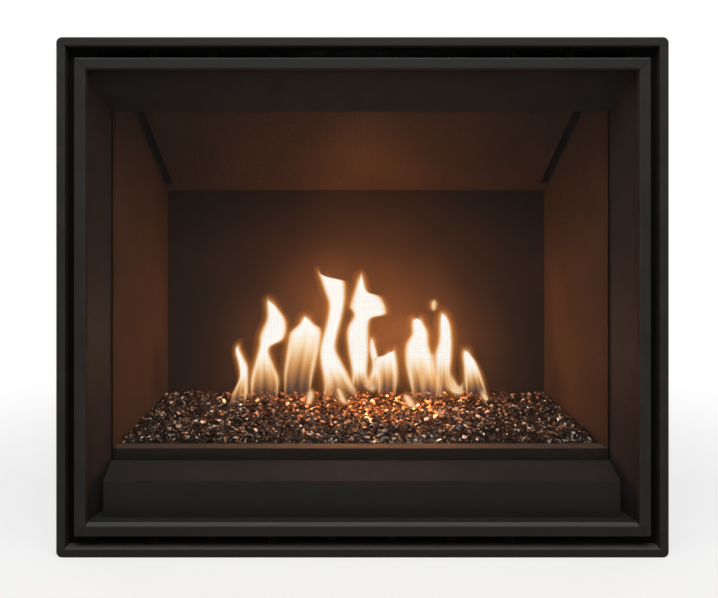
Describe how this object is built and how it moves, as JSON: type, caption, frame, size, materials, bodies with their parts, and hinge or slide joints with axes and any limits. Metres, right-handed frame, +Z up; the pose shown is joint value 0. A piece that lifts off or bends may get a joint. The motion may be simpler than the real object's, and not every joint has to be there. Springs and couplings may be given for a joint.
{
  "type": "gas fireplace",
  "caption": "Built-in direct-vent gas fireplace: black rimmed face, pull-off mesh screen, sealed glass firebox with a crushed-glass burner, lift-off access panel, coaxial top vent.",
  "frame": {"origin": "on the floor, under the middle of the body's bounding box", "axes": "+X to the viewer's right along the face, +Y from the face to the back, +Z up"},
  "size_m": [0.965, 0.56, 0.858],
  "materials": {
    "satin_black": "satin high-temperature black",
    "soot_black": "matt high-temperature black, heat darkened",
    "galvanised_steel": "hot-dip galvanised with a fine spangle",
    "aluminised_steel": "dull aluminised",
    "stainless_steel": "brushed",
    "zinc_plate": "bright zinc",
    "brass": "machined",
    "cast_aluminium": "die cast",
    "black_plastic": "moulded",
    "red_plastic": "moulded",
    "yellow_paint": "dipped",
    "ceramic_glass": "clear ceramic glass",
    "crushed_glass": "crushed reflective bronze glass",
    "rope_fibre": "woven fibreglass"
  },
  "bodies": {
    "cabinet": {"rim_top": "satin_black", "rim_bottom": "satin_black", "rim_left": "satin_black", "rim_right": "satin_black", "face_flange": "satin_black", "reveal_top": "satin_black", "reveal_left": "satin_black", "reveal_right": "satin_black", "glass_frame": "satin_black", "liner_left": "soot_black", "liner_right": "soot_black", "liner_back": "soot_black", "heat_baffle": "soot_black", "media_tray": "soot_black", "firebox_front_flange": "soot_black", "casing_base": "galvanised_steel", "casing_left_side": "galvanised_steel", "casing_right_side": "galvanised_steel", "casing_back": "galvanised_steel", "casing_top": "galvanised_steel", "header_standoffs": "galvanised_steel", "control_panel": "galvanised_steel", "junction_box": "galvanised_steel", "blower_housings": "galvanised_steel", "combustion_air_duct": "galvanised_steel", "firebox_wrap": "aluminised_steel", "firebox_floor": "aluminised_steel", "firebox_roof": "aluminised_steel", "firebox_supports": "aluminised_steel", "exhaust_collar": "aluminised_steel", "intake_collar": "aluminised_steel", "burner_pan": "stainless_steel", "pilot_assembly": "stainless_steel", "casing_screws": "zinc_plate", "screen_clips": "zinc_plate", "blower_motor": "zinc_plate", "shutoff_valve_body": "brass", "gas_supply_pipe": "brass", "gas_valve_body": "cast_aluminium", "burner_gas_pipe": "cast_aluminium", "igniter_body": "black_plastic", "glass_pane": "ceramic_glass", "crushed_glass_bed": "crushed_glass", "glass_gasket": "rope_fibre"},
    "screen": {"screen_rail_top": "satin_black", "screen_rail_bottom": "satin_black", "screen_rail_left": "satin_black", "screen_rail_right": "satin_black", "screen_mesh": "satin_black"},
    "access_panel": {"access_panel": "satin_black"},
    "latch_left": {"glass_latch_left": "stainless_steel"},
    "latch_right": {"glass_latch_right": "stainless_steel"},
    "control_knob": {"control_knob": "black_plastic"},
    "flame_knob": {"flame_knob": "black_plastic"},
    "igniter_button": {"igniter_button": "red_plastic"},
    "shutoff_lever": {"shutoff_lever": "yellow_paint"},
    "air_shutter": {"air_shutter": "stainless_steel"},
    "relief_flap": {"relief_flap": "stainless_steel"},
    "blower_rotor": {"blower_rotor": "zinc_plate"},
    "flue_restrictor": {"flue_restrictor": "stainless_steel"}
  },
  "joints": [
    {"name": "screen_pull", "type": "slide", "parent": "cabinet", "child": "screen", "axis": [0, -1, 0], "range_m": [0, 0.15]},
    {"name": "access_panel_lift", "type": "slide", "parent": "cabinet", "child": "access_panel", "axis": [0, 0, 1], "range_m": [0, 0.06]},
    {"name": "glass_latch_left_swing", "type": "hinge", "parent": "cabinet", "child": "latch_left", "pos_m": [-0.33, -0.182, 0.085], "axis": [1, 0, 0], "range_deg": [0, 50], "stiffness_Nm_per_rad": 0.5, "springref_deg": -17.19},
    {"name": "glass_latch_right_swing", "type": "hinge", "parent": "cabinet", "child": "latch_right", "pos_m": [0.33, -0.182, 0.085], "axis": [1, 0, 0], "range_deg": [0, 50], "stiffness_Nm_per_rad": 0.5, "springref_deg": -17.19},
    {"name": "control_knob_turn", "type": "hinge", "parent": "cabinet", "child": "control_knob", "pos_m": [0.1902, -0.18, 0.0395], "axis": [0, 1, 0], "range_deg": [0, 150]},
    {"name": "flame_knob_turn", "type": "hinge", "parent": "cabinet", "child": "flame_knob", "pos_m": [0.2406, -0.18, 0.0395], "axis": [0, 1, 0], "range_deg": [0, 240]},
    {"name": "igniter_press", "type": "slide", "parent": "cabinet", "child": "igniter_button", "axis": [0, 1, 0], "range_m": [0, 0.006], "stiffness_N_per_m": 500, "springref_m": -0.002},
    {"name": "shutoff_lever_turn", "type": "hinge", "parent": "cabinet", "child": "shutoff_lever", "pos_m": [0.425, -0.13, 0.052], "axis": [0, 0, 1], "range_deg": [0, 90]},
    {"name": "air_shutter_turn", "type": "hinge", "parent": "cabinet", "child": "air_shutter", "pos_m": [-0.34, 0.03, 0.107], "axis": [1, 0, 0], "range_deg": [-25, 25]},
    {"name": "relief_flap_lift", "type": "hinge", "parent": "cabinet", "child": "relief_flap", "pos_m": [0, -0.086, 0.7593], "axis": [-1, 0, 0], "range_deg": [0, 30]},
    {"name": "blower_spin", "type": "hinge", "parent": "cabinet", "child": "blower_rotor", "pos_m": [0, 0.19, 0.049], "axis": [1, 0, 0], "continuous": true},
    {"name": "flue_restrictor_slide", "type": "slide", "parent": "cabinet", "child": "flue_restrictor", "axis": [-1, 0, 0], "range_m": [0, 0.07]}
  ]
}
